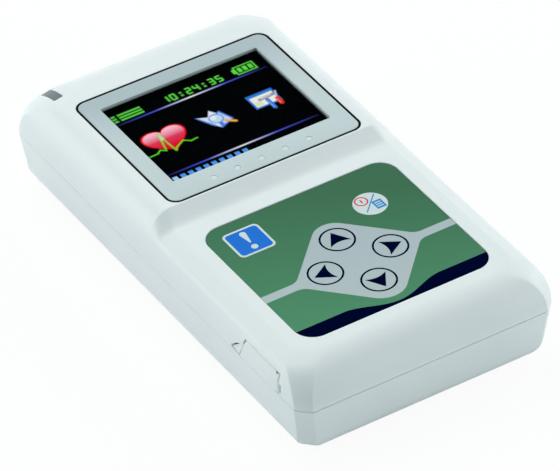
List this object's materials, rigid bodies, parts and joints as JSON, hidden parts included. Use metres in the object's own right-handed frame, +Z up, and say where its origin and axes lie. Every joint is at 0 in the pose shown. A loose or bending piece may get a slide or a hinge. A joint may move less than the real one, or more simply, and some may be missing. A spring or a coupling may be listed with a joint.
{
  "type": "heart rhythm recorder",
  "caption": "Pocket heart-rhythm recorder: white two-part casing with a stepped face, a small colour screen, a film keypad, a side cover over a socket and a battery door.",
  "frame": {"origin": "middle of the casing's box, on the face that it lies on", "axes": "+Y points to the screen end, +Z up out of the screen, +X to the right seen from above"},
  "size_m": [0.0576, 0.107, 0.0224],
  "materials": {
    "casing": "satin, lightly textured",
    "bezel": "satin",
    "pale_dots": "satin",
    "seal": "matte foam",
    "lens": "polished, slightly smoked",
    "display": "polished",
    "display_tray": "moulded",
    "ribbon": "polyimide",
    "film_green": "printed film, satin",
    "adhesive": "translucent",
    "film_grey": "printed film, satin",
    "film_blue": "printed film, satin",
    "film_white": "printed film, satin",
    "steel": "plated",
    "board_laminate": "solder mask",
    "chip": "moulded",
    "connector": "moulded",
    "contact": "gold plated",
    "indicator": "polished, smoked",
    "led": "clear resin",
    "battery": "printed sleeve",
    "plate": "brushed, bare"
  },
  "bodies": {
    "housing": {"top_cover": "casing", "bottom_cover": "casing", "screen_bezel": "bezel", "bezel_dots": "pale_dots", "bezel_seal": "seal", "cover_seal": "seal", "display_lens": "lens", "display_glass": "display", "display_frame": "display_tray", "display_flex": "ribbon", "keypad_film": "film_green", "keypad_adhesive": "adhesive", "case_screws": "steel", "board_screws": "steel", "key_domes": "steel", "side_cover_pin": "steel", "battery_springs": "steel", "battery_plates": "steel", "amplifier_shield": "steel", "data_socket": "steel", "main_board": "board_laminate", "board_chips": "chip", "buzzer": "chip", "flex_connector": "connector", "lead_socket": "connector", "lead_contacts": "contact", "indicator_window": "indicator", "indicator_light": "led", "batteries": "battery", "rating_plate": "plate"},
    "key_up": {"key_up": "film_grey"},
    "key_down": {"key_down": "film_grey"},
    "key_left": {"key_left": "film_grey"},
    "key_right": {"key_right": "film_grey"},
    "key_mark": {"key_mark": "film_blue"},
    "key_power": {"key_power": "film_white"},
    "side_cover": {"side_cover": "casing"},
    "battery_door": {"battery_door": "casing"}
  },
  "joints": [
    {"name": "key_up_press", "type": "slide", "parent": "housing", "child": "key_up", "axis": [0, 0, -1], "range_m": [0, 0.0003], "stiffness_N_per_m": 1000},
    {"name": "key_down_press", "type": "slide", "parent": "housing", "child": "key_down", "axis": [0, 0, -1], "range_m": [0, 0.0003], "stiffness_N_per_m": 1000},
    {"name": "key_left_press", "type": "slide", "parent": "housing", "child": "key_left", "axis": [0, 0, -1], "range_m": [0, 0.0003], "stiffness_N_per_m": 1000},
    {"name": "key_right_press", "type": "slide", "parent": "housing", "child": "key_right", "axis": [0, 0, -1], "range_m": [0, 0.0003], "stiffness_N_per_m": 1000},
    {"name": "key_mark_press", "type": "slide", "parent": "housing", "child": "key_mark", "axis": [0, 0, -1], "range_m": [0, 0.0003], "stiffness_N_per_m": 1000},
    {"name": "key_power_press", "type": "slide", "parent": "housing", "child": "key_power", "axis": [0, 0, -1], "range_m": [0, 0.0003], "stiffness_N_per_m": 1000},
    {"name": "side_cover_hinge", "type": "hinge", "parent": "housing", "child": "side_cover", "pos_m": [-0.02781, -0.0445, 0.0145], "axis": [0, 0, 1], "range_deg": [0, 90]},
    {"name": "battery_door_hinge", "type": "hinge", "parent": "housing", "child": "battery_door", "pos_m": [0, -0.04225, 0.0011], "axis": [-1, 0, 0], "range_deg": [0, 90]}
  ]
}
